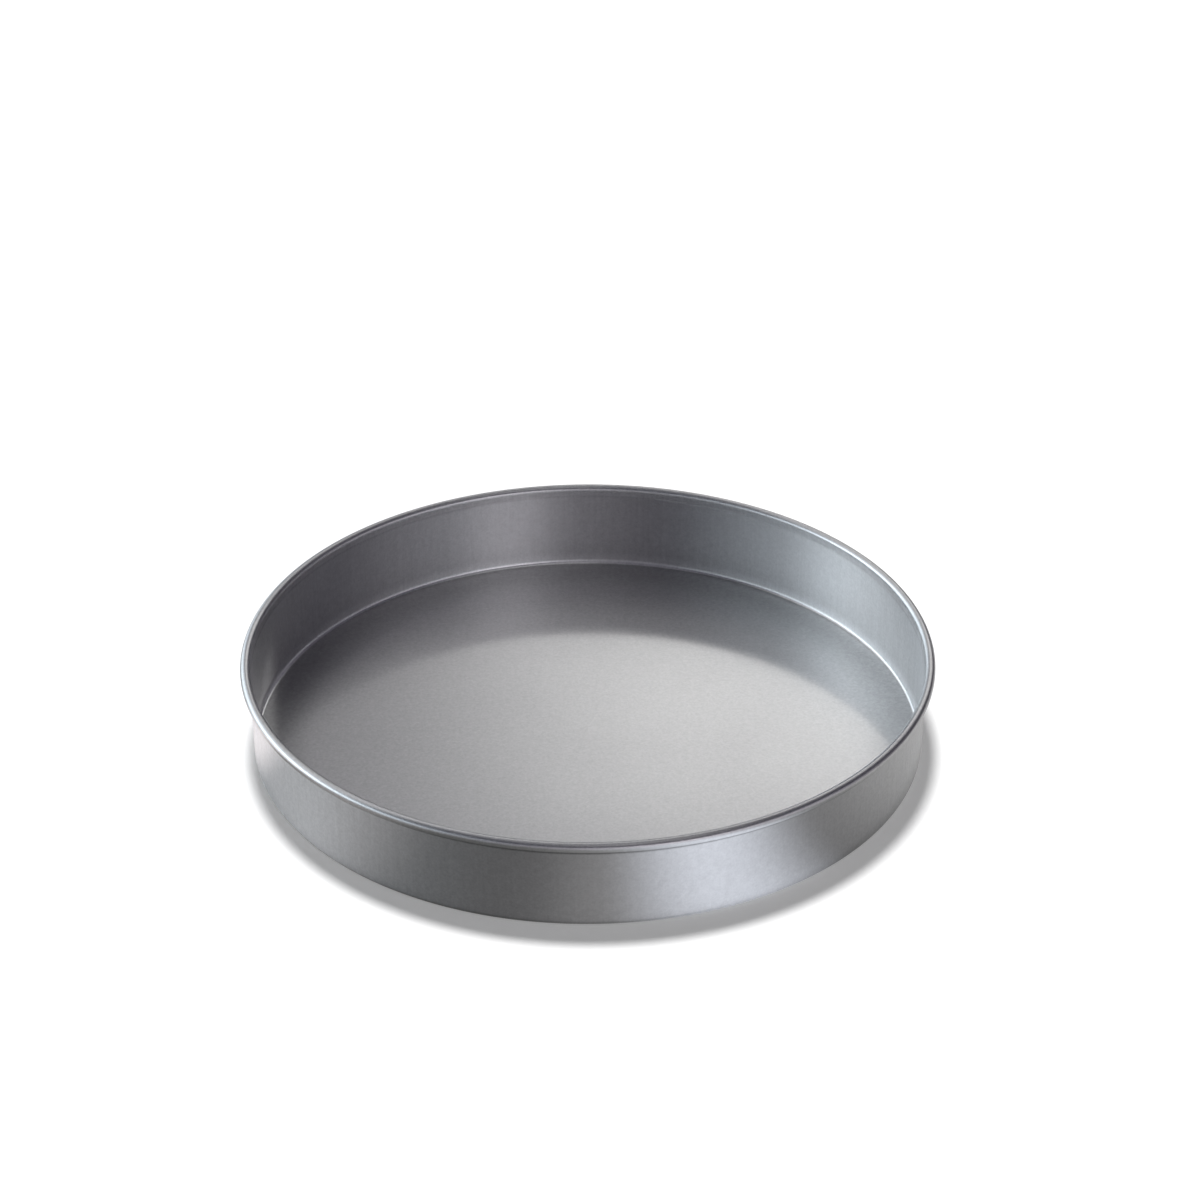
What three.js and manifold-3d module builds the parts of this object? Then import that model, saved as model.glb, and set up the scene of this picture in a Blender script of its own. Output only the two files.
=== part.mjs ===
// A round cake pan: a drawn steel shell whose rim is rolled around a wire ring.
// Millimetres, +Z up, with the origin at the centre of the underside.
import * as THREE from "three";
import { mergeVertices } from "three/addons/utils/BufferGeometryUtils.js";
import Module from "manifold-3d";

// The pan
const MOUTH_DIAMETER = 280; // inside, where the wall meets the rolled rim
const PAN_HEIGHT = 40; // from the table to the top of the rim
const WALL_DRAFT = 0.25; // degrees that the wall leans outwards
const SHEET_THICKNESS = 0.5;
const CORNER_RADIUS = 1.8; // inside, between the floor and the wall

// The wire and the rim that is rolled around it
const WIRE_DIAMETER = 3;
const WIRE_CLEARANCE = 0.1; // all round, between the wire and the rolled sheet
const WIRE_BUTT_GAP = 0.8; // between the two ends of the bent wire
const CURL_SLIT = 0.25; // between the free edge of the roll and the wall

// How finely the round shapes are divided
const SEGMENTS_AROUND = 72;
const CORNER_STEPS = 4;
const CURL_STEPS = 18;
const WIRE_SIDES = 12;
const MERGE_DISTANCE = 1e-3; // vertices closer than this are one

// Shapes that follow from the sizes above
const wireRadius = WIRE_DIAMETER / 2;
const curlInnerRadius = wireRadius + WIRE_CLEARANCE;
const curlOuterRadius = curlInnerRadius + SHEET_THICKNESS;
const draft = THREE.MathUtils.degToRad(WALL_DRAFT);

// The inside of the wall is tangent to the outside of the roll, on the side nearest the axis.
const curlCentre = new THREE.Vector2(
  MOUTH_DIAMETER / 2 + curlOuterRadius * Math.cos(draft),
  PAN_HEIGHT - curlOuterRadius,
);
const curlStart = Math.PI - draft;

// The free edge comes back under the roll until only the slit is left between it and the wall.
const curlEnd =
  Math.acos((curlInnerRadius - CURL_SLIT) / curlOuterRadius) - Math.PI - draft;

// The corner's arcs share a centre that lies one corner radius from the floor and from the wall.
const mouthHeight = curlCentre.y + curlOuterRadius * Math.sin(draft);
const cornerHeight = SHEET_THICKNESS + CORNER_RADIUS;
const cornerCentre = new THREE.Vector2(
  MOUTH_DIAMETER / 2 -
    (mouthHeight - cornerHeight) * Math.tan(draft) -
    CORNER_RADIUS / Math.cos(draft),
  cornerHeight,
);
const cornerStart = -Math.PI / 2;
const cornerEnd = -draft;

// Points along an arc in the plane of radius and height, both ends included.
function arcPoints(centre, radius, from, to, steps) {
  return Array.from({ length: steps + 1 }, (_, i) => {
    const angle = THREE.MathUtils.lerp(from, to, i / steps);
    return new THREE.Vector2(Math.cos(angle), Math.sin(angle))
      .multiplyScalar(radius)
      .add(centre);
  });
}

// A profile of radius and height, turned about the +Z axis.
function turned(profile) {
  return new THREE.LatheGeometry(profile, SEGMENTS_AROUND).rotateX(Math.PI / 2);
}

const steelFinish = new THREE.MeshStandardMaterial({
  name: "satin_steel",
  color: 0xa9abad,
  roughness: 0.35,
  metalness: 1,
});
const wireFinish = new THREE.MeshStandardMaterial({
  name: "drawn_wire",
  color: 0x8e9092,
  roughness: 0.45,
  metalness: 1,
});

// The shell's section runs along the inside of the sheet to its free edge, and back along the outside.
function panShell() {
  const inside = [
    new THREE.Vector2(0, SHEET_THICKNESS),
    ...arcPoints(cornerCentre, CORNER_RADIUS, cornerStart, cornerEnd, CORNER_STEPS),
    ...arcPoints(curlCentre, curlOuterRadius, curlStart, curlEnd, CURL_STEPS),
  ];
  const outside = [
    ...arcPoints(curlCentre, curlInnerRadius, curlEnd, curlStart, CURL_STEPS),
    ...arcPoints(
      cornerCentre,
      CORNER_RADIUS + SHEET_THICKNESS,
      cornerEnd,
      cornerStart,
      CORNER_STEPS,
    ),
    new THREE.Vector2(0, 0),
  ];
  return new THREE.Mesh(turned([...inside, ...outside].reverse()), steelFinish);
}

const wasm = await Module();
wasm.setup();

// A closed geometry as a solid that can be cut.
function solidOf(geometry) {
  const bare = geometry.clone();
  bare.deleteAttribute("normal");
  bare.deleteAttribute("uv");
  const merged = mergeVertices(bare, MERGE_DISTANCE);
  return new wasm.Manifold(
    new wasm.Mesh({
      numProp: 3,
      vertProperties: merged.getAttribute("position").array,
      triVerts: Uint32Array.from(merged.index.array),
    }),
  );
}

function geometryOf(solid) {
  const { vertProperties, triVerts } = solid.getMesh();
  const geometry = new THREE.BufferGeometry();
  geometry.setAttribute("position", new THREE.BufferAttribute(vertProperties, 3));
  geometry.setIndex(new THREE.BufferAttribute(triVerts, 1));
  geometry.computeVertexNormals();
  return geometry;
}

// The wire is a ring bent from one cut length, with its two ends facing each other at the back of the pan.
function rimWire() {
  const section = arcPoints(curlCentre, wireRadius, 0, 2 * Math.PI, WIRE_SIDES);
  section[WIRE_SIDES].copy(section[0]);
  const ring = turned(section);
  const butt = new THREE.BoxGeometry(
    WIRE_BUTT_GAP,
    2 * WIRE_DIAMETER,
    2 * WIRE_DIAMETER,
  ).translate(0, curlCentre.x, curlCentre.y);
  const bent = solidOf(ring).subtract(solidOf(butt));
  return new THREE.Mesh(geometryOf(bent), wireFinish);
}

const cakePan = new THREE.Group();
cakePan.name = "cake_pan";
for (const [name, mesh] of [
  ["pan_shell", panShell()],
  ["rim_wire", rimWire()],
]) {
  mesh.name = name;
  cakePan.add(mesh);
}

export default cakePan;
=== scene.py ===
import math

import bpy
import numpy as np
from mathutils import Matrix, Vector


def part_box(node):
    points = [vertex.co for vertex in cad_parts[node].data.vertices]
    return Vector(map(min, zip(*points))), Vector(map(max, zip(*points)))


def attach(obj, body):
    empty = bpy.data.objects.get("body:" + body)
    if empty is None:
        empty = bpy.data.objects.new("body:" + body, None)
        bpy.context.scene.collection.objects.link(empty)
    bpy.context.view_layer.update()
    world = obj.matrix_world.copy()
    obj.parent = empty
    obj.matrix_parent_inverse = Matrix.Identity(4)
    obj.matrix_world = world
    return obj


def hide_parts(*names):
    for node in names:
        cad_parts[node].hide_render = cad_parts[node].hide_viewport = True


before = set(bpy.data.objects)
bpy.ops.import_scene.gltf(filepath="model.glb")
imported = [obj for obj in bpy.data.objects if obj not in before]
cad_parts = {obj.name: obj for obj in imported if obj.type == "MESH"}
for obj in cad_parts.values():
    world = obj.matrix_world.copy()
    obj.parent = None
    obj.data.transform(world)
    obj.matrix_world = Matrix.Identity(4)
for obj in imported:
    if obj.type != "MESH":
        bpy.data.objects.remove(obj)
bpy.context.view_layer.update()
mm = 0.001
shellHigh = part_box("pan_shell")[1]
wireLow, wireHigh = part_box("rim_wire")
scene = bpy.context.scene
scene.view_settings.view_transform = "Standard"
across = round(2 * shellHigh.x / mm, 1)
print("frame: the pan is", across, "mm across and", round(shellHigh.z / mm, 1), "mm high")


# a shader socket in an expression: + - * / and abs add Math nodes, and numbers on either side are fine
class Flow:
    def __init__(self, tree, socket=None):
        self.tree = tree
        self.socket = socket

    # any node: its type, its settings, which are set first, and the values or links of its sockets
    def node(self, kind, settings, sockets, output=0):
        made = self.tree.nodes.new(kind)
        for name, value in settings.items():
            setattr(made, name, value)
        for key, value in sockets.items():
            if isinstance(value, Flow):
                self.tree.links.new(value.socket, made.inputs[key])
            else:
                made.inputs[key].default_value = value
        return Flow(self.tree, made.outputs[output] if made.outputs else None)

    def math(self, operation, *terms):
        return self.node("ShaderNodeMath", {"operation": operation}, dict(enumerate(terms)))

    def vector(self, operation, *terms):
        return self.node("ShaderNodeVectorMath", {"operation": operation}, dict(enumerate(terms)))

    def tinted(self, colour):  # the value as a colour of that tint
        return self.node("ShaderNodeVectorMath", {"operation": "SCALE"}, {0: colour, "Scale": self})

    def parts(self):  # x, y and z of a vector
        split = self.node("ShaderNodeSeparateXYZ", {}, {0: self})
        return [Flow(self.tree, out) for out in split.socket.node.outputs]

    def ease(self, start, end):  # a smooth step from 0 to 1
        return self.node("ShaderNodeMapRange", {"interpolation_type": "SMOOTHSTEP"},
                         {0: self, 1: start, 2: end})

    def band(self, rise, fall):  # 1 between two smooth steps and 0 outside them
        return self.ease(*rise) - self.ease(*fall)

    def __add__(self, other):
        return self.math("ADD", self, other)

    def __sub__(self, other):
        return self.math("SUBTRACT", self, other)

    def __rsub__(self, other):
        return self.math("SUBTRACT", other, self)

    def __mul__(self, other):
        return self.math("MULTIPLY", self, other)

    def __truediv__(self, other):
        return self.math("DIVIDE", self, other)

    def __rtruediv__(self, other):
        return self.math("DIVIDE", other, self)

    def __abs__(self):
        return self.math("ABSOLUTE", self)

    __radd__ = __add__
    __rmul__ = __mul__


def emptyTree(owner):
    owner.use_nodes = True
    owner.node_tree.nodes.clear()
    return Flow(owner.node_tree)


def reachOf(x, y):  # distance from the pan's axis
    return x.math("SQRT", x * x + y * y)


# points of an arc in the plane of radius and height: centre + radius * (cos, sin) of evenly spaced angles
def arc(centre, radius, start, end, steps):
    angle = np.linspace(start, end, steps + 1)
    return np.stack([centre[0] + radius * np.cos(angle), centre[1] + radius * np.sin(angle)], 1)


# a mesh object from whole arrays of points and faces, smooth, at the origin
def newPiece(name, points, faces, material):
    mesh = bpy.data.meshes.new(name)
    mesh.from_pydata(points.tolist(), [], faces)
    mesh.polygons.foreach_set("use_smooth", np.ones(len(mesh.polygons), bool))
    mesh.materials.append(material)
    mesh.update()
    piece = bpy.data.objects.new(name, mesh)
    scene.collection.objects.link(piece)
    return piece


# a closed skin over a grid of rings by columns: quads between neighbouring rings, whose last column
# joins their first, and a fan from each tip to the ring beside it
def closedSkin(grid, firstTip, lastTip):
    rings, columns = grid.shape[:2]
    ring, column = np.meshgrid(np.arange(rings - 1) * columns, np.arange(columns), indexing="ij")
    onward = (column + 1) % columns
    quads = np.stack([ring + column, ring + onward, ring + columns + onward, ring + columns + column], -1)
    around = np.arange(columns)
    nextRound = (around + 1) % columns
    tip = np.full(columns, rings * columns)
    lastRing = (rings - 1) * columns
    firstFan = np.stack([tip, nextRound, around], 1)
    lastFan = np.stack([tip + 1, around + lastRing, nextRound + lastRing], 1)
    points = np.concatenate([grid.reshape(-1, 3), [firstTip, lastTip]])
    return points, quads.reshape(-1, 4).tolist() + firstFan.tolist() + lastFan.tolist()


# a profile of radius and height carried round the axis, where it starts and ends:
# radius * (cos, sin) and height
def turned(profile, columns):
    angle = np.arange(columns) * 2 * math.pi / columns
    radius, height = profile[1:-1, :1], profile[1:-1, 1:]
    grid = np.stack([radius * np.cos(angle), radius * np.sin(angle), height + 0 * angle], -1)
    return closedSkin(grid, [0, 0, profile[0, 1]], [0, 0, profile[-1, 1]])


# a circle carried along an arc round the axis, from one flat end to the other:
# radius + circle * cos and height + circle * sin
def bentRod(radius, height, circle, start, end, steps, sides):
    along = np.linspace(start, end, steps + 1)[:, None]
    around = np.arange(sides) * 2 * math.pi / sides
    reach = radius + circle * np.cos(around)
    rise = height + circle * np.sin(around)
    grid = np.stack([reach * np.cos(along), reach * np.sin(along), rise + 0 * along], -1)
    return closedSkin(grid, grid[0].mean(0), grid[-1].mean(0))


# finish of the drawn sheet: bright metal under a fine haze, with speckled grain, a mottle of a few
# millimetres, upright draw lines and broad clouds; the wall's haze spreads up and down more than
# across, and the rim is hazier; painted shade darkens the floor beside the corner and the groove
# under the roll, and a painted highlight brightens the inside corner
satinSteel = {
    "colour": (0.70, 0.70, 0.70),
    "brightRoughness": 0.11,
    "hazeRoughness": 0.42,
    "hazeShare": 0.62,  # how much of the sheen is haze
    "bumpHeight": 0.0006 * mm,
    # speckled grain
    "grainSize": 0.9 * mm,
    "grainDetail": 2.0,
    "grainHaze": 0.16,
    "grainShade": 0.05,
    # mottle
    "mottleSize": 2.2 * mm,
    "mottleDetail": 2.0,
    "mottleShade": 0.24,
    # draw lines
    "lineWidth": 1.3 * mm,
    "lineDetail": 1.0,
    "lineStretch": 0.03,
    "lineHaze": 0.11,
    # clouds
    "cloudSize": 45 * mm,
    "cloudDetail": 3.0,
    "cloudHaze": 0.10,
    "cloudRoughness": 0.03,
    # the wall, by height; pairs are where a smooth step starts and ends
    "wallFrom": (0.9 * mm, 1.9 * mm),
    "wallTo": (34.0 * mm, 35.6 * mm),
    "wallHaze": 0.15,
    "wallRoughness": 0.40,
    "wallSpread": 0.9,
    "wallTurn": 0.25,  # a quarter turn, so that it spreads up and down
    # the rim, by height
    "rimFrom": (35.2 * mm, 36.2 * mm),
    "rimHaze": 0.22,
    # painted shade: the floor darker beside the corner, where shade falls, by reach and then height
    "cornerFrom": (114 * mm, 135 * mm),
    "cornerTo": (0.52 * mm, 0.80 * mm),
    "paintedCornerShade": 0.28,
    # painted highlight: paler metal in the inside corner and at the foot of the wall, by height and then
    # reach
    "shineFrom": (0.53 * mm, 0.75 * mm),
    "shineTo": (1.8 * mm, 7.0 * mm),
    "shineReach": (140.05 * mm, 140.2 * mm),
    "paintedCornerHighlight": 0.25,
    # painted shade: the wall darker in the groove under the roll, where shade falls, by reach and then
    # height
    "grooveReach": (140.1 * mm, 140.4 * mm),
    "grooveFrom": (33.2 * mm, 34.5 * mm),
    "grooveTo": (36.1 * mm, 37.1 * mm),
    "paintedGrooveShade": 0.68,
}


def satinSteelMaterial():
    finish = satinSteel
    made = bpy.data.materials.new("satinSteel")
    flow = emptyTree(made)
    place = flow.node("ShaderNodeTexCoord", {}, {}, "Object")
    upright = flow.vector("MULTIPLY", place, (1, 1, finish["lineStretch"]))

    def noise(where, size, detail):  # from about -0.5 to 0.5
        pattern = {"Vector": where, "Scale": 1 / size, "Detail": detail}
        return flow.node("ShaderNodeTexNoise", {}, pattern) - 0.5

    grain = noise(place, finish["grainSize"], finish["grainDetail"])
    mottle = noise(place, finish["mottleSize"], finish["mottleDetail"])
    lines = noise(upright, finish["lineWidth"], finish["lineDetail"])
    cloud = noise(place, finish["cloudSize"], finish["cloudDetail"])

    x, y, height = place.parts()
    reach = reachOf(x, y)
    wall = height.band(finish["wallFrom"], finish["wallTo"])
    rim = height.ease(*finish["rimFrom"])
    # painted shade: 1 on the floor beside the corner, where shade falls
    ring = reach.ease(*finish["cornerFrom"]) * (1 - height.ease(*finish["cornerTo"]))
    # painted highlight: 1 in the inside corner and at the foot of the wall
    paintedHighlight = (1 - reach.ease(*finish["shineReach"])) * height.band(finish["shineFrom"], finish["shineTo"])
    # painted shade: 1 in the groove under the roll, where shade falls
    paintedGroove = reach.ease(*finish["grooveReach"]) * height.band(finish["grooveFrom"], finish["grooveTo"])

    haze = (finish["hazeShare"] + grain * finish["grainHaze"] + lines * finish["lineHaze"]
            + cloud * finish["cloudHaze"] + rim * finish["rimHaze"] + wall * finish["wallHaze"])
    drift = cloud * finish["cloudRoughness"]
    darker = [c * (1 - finish["grainShade"]) for c in finish["colour"]]
    paler = [c * (1 + finish["grainShade"]) for c in finish["colour"]]
    speckled = flow.node("ShaderNodeMix", {"data_type": "RGBA"},
                         {0: grain + 0.5, 6: (*darker, 1), 7: (*paler, 1)}, 2)
    # the tone of the colour: random mottle, a painted highlight in the inside corner, and painted shade
    # beside the corner and in the groove under the roll
    shade = (1 + mottle * finish["mottleShade"] + paintedHighlight * finish["paintedCornerHighlight"]
             - ring * finish["paintedCornerShade"] - paintedGroove * finish["paintedGrooveShade"])
    colour = shade.tinted(speckled)
    bump = flow.node("ShaderNodeBump", {}, {"Distance": finish["bumpHeight"], "Height": grain})

    def metal(roughness, spread=0.0):
        return flow.node("ShaderNodeBsdfPrincipled", {},
                         {"Base Color": colour, "Metallic": 1.0, "Roughness": roughness + drift,
                          "Normal": bump, "Anisotropic": spread,
                          "Anisotropic Rotation": finish["wallTurn"]})

    even = metal(finish["hazeRoughness"])
    upAndDown = metal(finish["wallRoughness"], finish["wallSpread"])
    dull = flow.node("ShaderNodeMixShader", {}, {0: wall, 1: even, 2: upAndDown})
    sheen = flow.node("ShaderNodeMixShader", {}, {0: haze, 1: metal(finish["brightRoughness"]), 2: dull})
    flow.node("ShaderNodeOutputMaterial", {}, {"Surface": sheen})
    return made


# the drawn sheet: floor, corner, wall and the rim that is rolled round the wire
panShell = {
    "sheet": 0.5 * mm,
    "corner": 1.8 * mm,  # inside radius
    "draft": math.radians(0.25),
    "slit": 0.25 * mm,  # between the free edge of the roll and the wall
    "columns": 360,
    "floorRings": 10,
    "wallRings": 8,
    "cornerSteps": 16,
    "curlSteps": 56,
    "guard": 0.12 * mm,  # from the end of a straight run to its closest ring
}


# the inside of the sheet from the centre of the floor to its free edge, then the outside back to the
# centre below
def panProfile():
    p = panShell
    middle = np.array([0.0, (wireLow.z + wireHigh.z) / 2])
    curl = shellHigh.z - middle[1]
    middle[0] = shellHigh.x - curl
    draft = p["draft"]
    start = math.pi - draft
    end = math.acos((curl - p["sheet"] - p["slit"]) / curl) - math.pi - draft
    mouth = middle + curl * np.array([math.cos(start), math.sin(start)])
    bend = np.array([0.0, p["sheet"] + p["corner"]])
    bend[0] = mouth[0] - (mouth[1] - bend[1]) * math.tan(draft) - p["corner"] / math.cos(draft)

    # a straight run between two points, with a close ring beside each end so that the shading stays flat
    def straight(a, b, rings):
        guard = p["guard"] / np.linalg.norm(b - a)
        share = np.concatenate([[guard], np.linspace(0, 1, rings + 1)[1:-1], [1 - guard]])
        return a + share[:, None] * (b - a)

    def side(cornerRadius, curlRadius, floorHeight):
        fillet = arc(bend, cornerRadius, -math.pi / 2, -draft, p["cornerSteps"])
        roll = arc(middle, curlRadius, start, end, p["curlSteps"])
        floorRun = straight(np.array([0.0, floorHeight]), fillet[0], p["floorRings"])
        wallRun = straight(fillet[-1], roll[0], p["wallRings"])
        return np.concatenate([[[0.0, floorHeight]], floorRun[1:], fillet, wallRun, roll])

    inside = side(p["corner"], curl, p["sheet"])
    outside = side(p["corner"] + p["sheet"], curl - p["sheet"], 0.0)
    return np.concatenate([inside, outside[::-1]])


def makePanShell():
    points, faces = turned(panProfile(), panShell["columns"])
    piece = newPiece("panShell", points, faces, satinSteelMaterial())
    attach(piece, "root")
    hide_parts("pan_shell")
    print("panShell:", len(points), "points")


makePanShell()

# the wire in the rolled rim, whose ends meet at the back, and its drawn finish
rimWire = {"buttGap": 0.8 * mm, "backAngle": math.pi / 2, "steps": 360, "sides": 24}
drawnWire = {
    "colour": (0.50, 0.51, 0.52),
    "roughness": 0.38,
    "streakSize": 0.3 * mm,
    "streakDetail": 3.0,
    "streakRoughness": 0.2,
}


def drawnWireMaterial():
    finish = drawnWire
    made = bpy.data.materials.new("drawnWire")
    flow = emptyTree(made)
    place = flow.node("ShaderNodeTexCoord", {}, {}, "Object")
    pattern = {"Vector": place, "Scale": 1 / finish["streakSize"], "Detail": finish["streakDetail"]}
    streak = flow.node("ShaderNodeTexNoise", {}, pattern)
    roughness = finish["roughness"] + (streak - 0.5) * finish["streakRoughness"]
    metal = flow.node("ShaderNodeBsdfPrincipled", {},
                      {"Base Color": (*finish["colour"], 1), "Roughness": roughness, "Metallic": 1.0})
    flow.node("ShaderNodeOutputMaterial", {}, {"Surface": metal})
    return made


def makeRimWire():
    circle = (wireHigh.z - wireLow.z) / 2
    height = (wireHigh.z + wireLow.z) / 2
    radius = wireHigh.x - circle
    halfGap = rimWire["buttGap"] / 2 / radius
    start = rimWire["backAngle"] + 2 * math.pi - halfGap
    end = rimWire["backAngle"] + halfGap
    points, faces = bentRod(radius, height, circle, start, end, rimWire["steps"], rimWire["sides"])
    piece = newPiece("rimWire", points, faces, drawnWireMaterial())
    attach(piece, "root")
    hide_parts("rim_wire")
    print("rimWire:", len(points), "points")


makeRimWire()

# compass bearings are in degrees from the camera's side of the pan, with the right positive
degree = math.degrees(1)
halfTurn = 180.0


def bearingOf(x, y):
    return x.math("ARCTAN2", x, 0 - y) * degree


# 1 within half of the centre and 0 outside, with an edge that is soft by that share
def softWindow(away, half, soft):
    return (abs(away) / half).ease(1 + soft, 1 - soft)


def softBearing(bearing, centre, half, soft):  # the same, round the compass
    away = bearing.math("WRAP", bearing - centre, halfTurn, -halfTurn)
    return softWindow(away, half, soft)


# what asks for a colour: the camera itself, or metal and glass
def askedBy(flow):
    path = flow.node("ShaderNodeLightPath", {}, {}).socket.node.outputs
    camera = Flow(flow.tree, path["Is Camera Ray"])
    mirrored = Flow(flow.tree, path["Is Glossy Ray"]) + Flow(flow.tree, path["Is Transmission Ray"])
    return camera, mirrored


# the studio: white to the camera; metal sees dark drapes with soft openings, some of them by a cool
# daylight
neutral = (1.0, 1.0, 1.0)
daylight = (0.89, 1.0, 1.08)
lamplight = (1.0, 1.0, 0.98)
dusk = (1.03, 1.0, 1.06)
studio = {
    "drapes": (0.031, 0.027, 0.044),
    "fill": 0.08,  # what dull surfaces get from it
    # bearing, half width, height, half height, brightness, softness across and up, tint
    "openings": {
        "leftBox": (-88, 35, 17, 13, 1.30, 1.0, 0.23, daylight),
        "leftTall": (-121, 37, 12, 19, 1.44, 0.38, 0.20, daylight),
        "leftHigh": (-133, 34, 46, 16, 0.66, 0.30, 0.30, neutral),
        "backRight": (164, 18.2, 28.5, 6.6, 1.41, 0.26, 0.20, lamplight),
        "backHigh": (172, 27, 47, 10, 0.52, 0.40, 0.12, neutral),
        "frontRight": (44, 40, 8, 20, 0.60, 0.90, 0.10, dusk),
        "frontSlit": (28, 12, 19, 10.2, 0.78, 0.80, 0.05, dusk),
        "frontWide": (-10, 30, 9, 19, 0.19, 1.0, 0.15, dusk),
        "overRight": (40, 50, 76, 15, 0.42, 0.30, 0.20, neutral),
        "skylight": (180, 90, 82, 10, 0.30, 0.40, 0.30, neutral),
    },
}


def makeStudio():
    world = bpy.data.worlds.new("studio")
    scene.world = world
    flow = emptyTree(world)
    x, y, z = flow.node("ShaderNodeTexCoord", {}, {}, "Generated").parts()
    bearing = bearingOf(x, y)
    height = z.math("ARCSINE", z) * degree
    seen = studio["drapes"]
    for side, halfWidth, up, halfHeight, brightness, soft, softUp, tint in studio["openings"].values():
        opening = softBearing(bearing, side, halfWidth, soft) * softWindow(height - up, halfHeight, softUp)
        seen = flow.vector("ADD", (opening * brightness).tinted(tint), seen)
    camera, mirrored = askedBy(flow)
    plain = camera + (1 - camera - mirrored) * studio["fill"]
    colour = flow.vector("ADD", mirrored.tinted(seen), plain.tinted(neutral))
    light = flow.node("ShaderNodeBackground", {}, {"Color": colour})
    flow.node("ShaderNodeOutputWorld", {}, {"Surface": light})


makeStudio()
print("studio: drapes and", len(studio["openings"]), "openings")

# the pale floor, white to the camera apart from the pan's shadow, and clear from below; metal sees it
# with mats and cards beside the pan, and with a painted shadow in a ring where the pan stands
warmCard = (1.1, 1.0, 1.0)
coolCard = (0.94, 1.0, 1.12)
paleFloor = {
    "size": 12.0,
    "colour": (0.8, 0.8, 0.8),
    "lift": 0.24,  # added to what the camera sees
    "seen": (0.22, 0.22, 0.22),
    "paintedContactShadow": 0.45,
    "contactInner": (132 * mm, 139 * mm),
    "contactOuter": (140 * mm, 146 * mm),
    "matsFrom": (125 * mm, 139 * mm),
    # bearing, half width, brightness added, softness, tint
    "mats": {
        "leftCard": (-55, 14, 0.15, 0.9, warmCard),
        "leftFar": (-88.5, 9, 0.90, 0.8, warmCard),
        "frontMat": (-24, 17, -0.08, 0.7, neutral),
        "frontCard": (4, 8, 0.08, 0.9, neutral),
        "brightCard": (26, 13, 0.90, 0.90, coolCard),
        "rightFar": (97, 30, 0.40, 0.8, neutral),
        "backCard": (180, 50, 0.30, 0.5, neutral),
    },
}


def paleFloorMaterial():
    made = bpy.data.materials.new("paleFloor")
    flow = emptyTree(made)
    x, y, z = flow.node("ShaderNodeTexCoord", {}, {}, "Object").parts()
    bearing = bearingOf(x, y)
    reach = reachOf(x, y)
    beside = reach.ease(*paleFloor["matsFrom"])
    seen = paleFloor["seen"]
    for side, half, brightness, soft, tint in paleFloor["mats"].values():
        mat = softBearing(bearing, side, half, soft) * beside * brightness
        seen = flow.vector("ADD", mat.tinted(tint), seen)
    # painted shadow: a darker ring where the pan stands, as metal sees the floor
    line = reach.band(paleFloor["contactInner"], paleFloor["contactOuter"])
    paintedShadow = 1 - line * paleFloor["paintedContactShadow"]
    camera, mirrored = askedBy(flow)
    shade = flow.node("ShaderNodeBsdfDiffuse", {}, {"Color": (*paleFloor["colour"], 1)})
    lift = flow.node("ShaderNodeEmission", {}, {"Color": (camera * paleFloor["lift"]).tinted(neutral)})
    lit = flow.node("ShaderNodeAddShader", {}, {0: shade, 1: lift})
    cards = flow.node("ShaderNodeEmission", {}, {"Color": paintedShadow.tinted(seen)})
    above = flow.node("ShaderNodeMixShader", {}, {0: mirrored, 1: lit, 2: cards})
    clear = flow.node("ShaderNodeBsdfTransparent", {}, {})
    below = flow.node("ShaderNodeNewGeometry", {}, {}, "Backfacing")
    surface = flow.node("ShaderNodeMixShader", {}, {0: below, 1: above, 2: clear})
    flow.node("ShaderNodeOutputMaterial", {}, {"Surface": surface})
    return made


def makeFloor():
    half = paleFloor["size"] / 2
    corners = np.array([[-half, -half, 0], [half, -half, 0], [half, half, 0], [-half, half, 0]])
    floor = newPiece("floor", corners, [[0, 1, 2, 3]], paleFloorMaterial())


makeFloor()
print("floor:", len(paleFloor["mats"]), "mats and cards")

# the lamp that gives the floor its light and the pan its shadow; metal sees the studio instead
shadowLamp = {"bearing": -168, "height": 77, "strength": 3.3, "spread": 11}


def makeLamp():
    lamp = bpy.data.lights.new("shadowLamp", "SUN")
    lamp.energy = shadowLamp["strength"]
    lamp.angle = math.radians(shadowLamp["spread"])
    side = math.radians(shadowLamp["bearing"])
    up = math.radians(shadowLamp["height"])
    towards = Vector((math.sin(side) * math.cos(up), -math.cos(side) * math.cos(up), math.sin(up)))
    holder = bpy.data.objects.new("shadowLamp", lamp)
    holder.rotation_euler = towards.to_track_quat("Z", "Y").to_euler()
    holder.visible_glossy = False
    scene.collection.objects.link(holder)


makeLamp()
print("lamp:", shadowLamp["height"], "degrees up")

# the camera, at the photograph's viewing angle; down and roll in degrees, lens and sensor in millimetres
viewpoint = {
    "place": (5.08 * mm, -1090.86 * mm, 704.35 * mm),
    "down": 30.4662,
    "roll": -0.044,
    "lens": 92.04,
    "sensor": 36,
    "near": 0.05,
    "far": 30,
}


def makeCamera():
    data = bpy.data.cameras.new("camera")
    data.sensor_width = viewpoint["sensor"]
    data.lens = viewpoint["lens"]
    data.clip_start = viewpoint["near"]
    data.clip_end = viewpoint["far"]
    tilt = Matrix.Rotation(math.radians(90 - viewpoint["down"]), 4, "X")
    roll = Matrix.Rotation(math.radians(viewpoint["roll"]), 4, "Z")
    camera = bpy.data.objects.new("camera", data)
    camera.matrix_world = Matrix.Translation(viewpoint["place"]) @ tilt @ roll
    scene.collection.objects.link(camera)
    scene.camera = camera


makeCamera()
print("camera:", viewpoint["down"], "degrees down")
